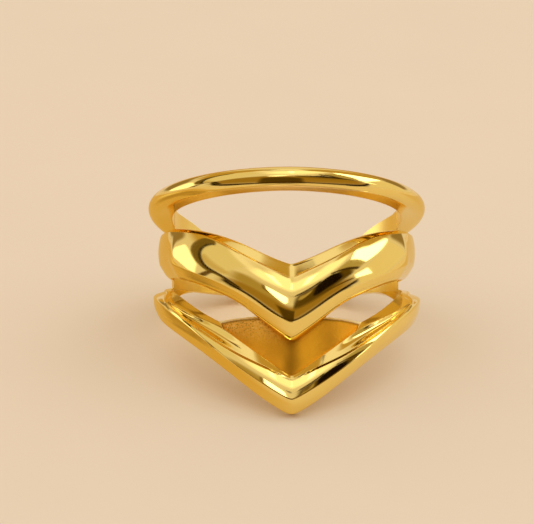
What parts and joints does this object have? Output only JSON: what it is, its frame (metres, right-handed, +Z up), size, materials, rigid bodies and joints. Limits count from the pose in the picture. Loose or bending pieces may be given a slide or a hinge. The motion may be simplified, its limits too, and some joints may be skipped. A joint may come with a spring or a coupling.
{
  "type": "chevron ring",
  "caption": "Polished cast finger ring: a level round band above a domed V band and a ridged V band with a rough web, all running into one narrow shank.",
  "frame": {"origin": "centre of the footprint on the surface that the ring rests on", "axes": "+Z up; -Y towards the viewer of the picture, where the points of the V bands are; +X to the right. The finger hole's axis leans back by about 35 degrees from +Z towards +Y"},
  "size_m": [0.0208, 0.0246, 0.0156],
  "materials": {
    "gold": "polished"
  },
  "bodies": {
    "root": {"ring": "gold"}
  },
  "joints": []
}
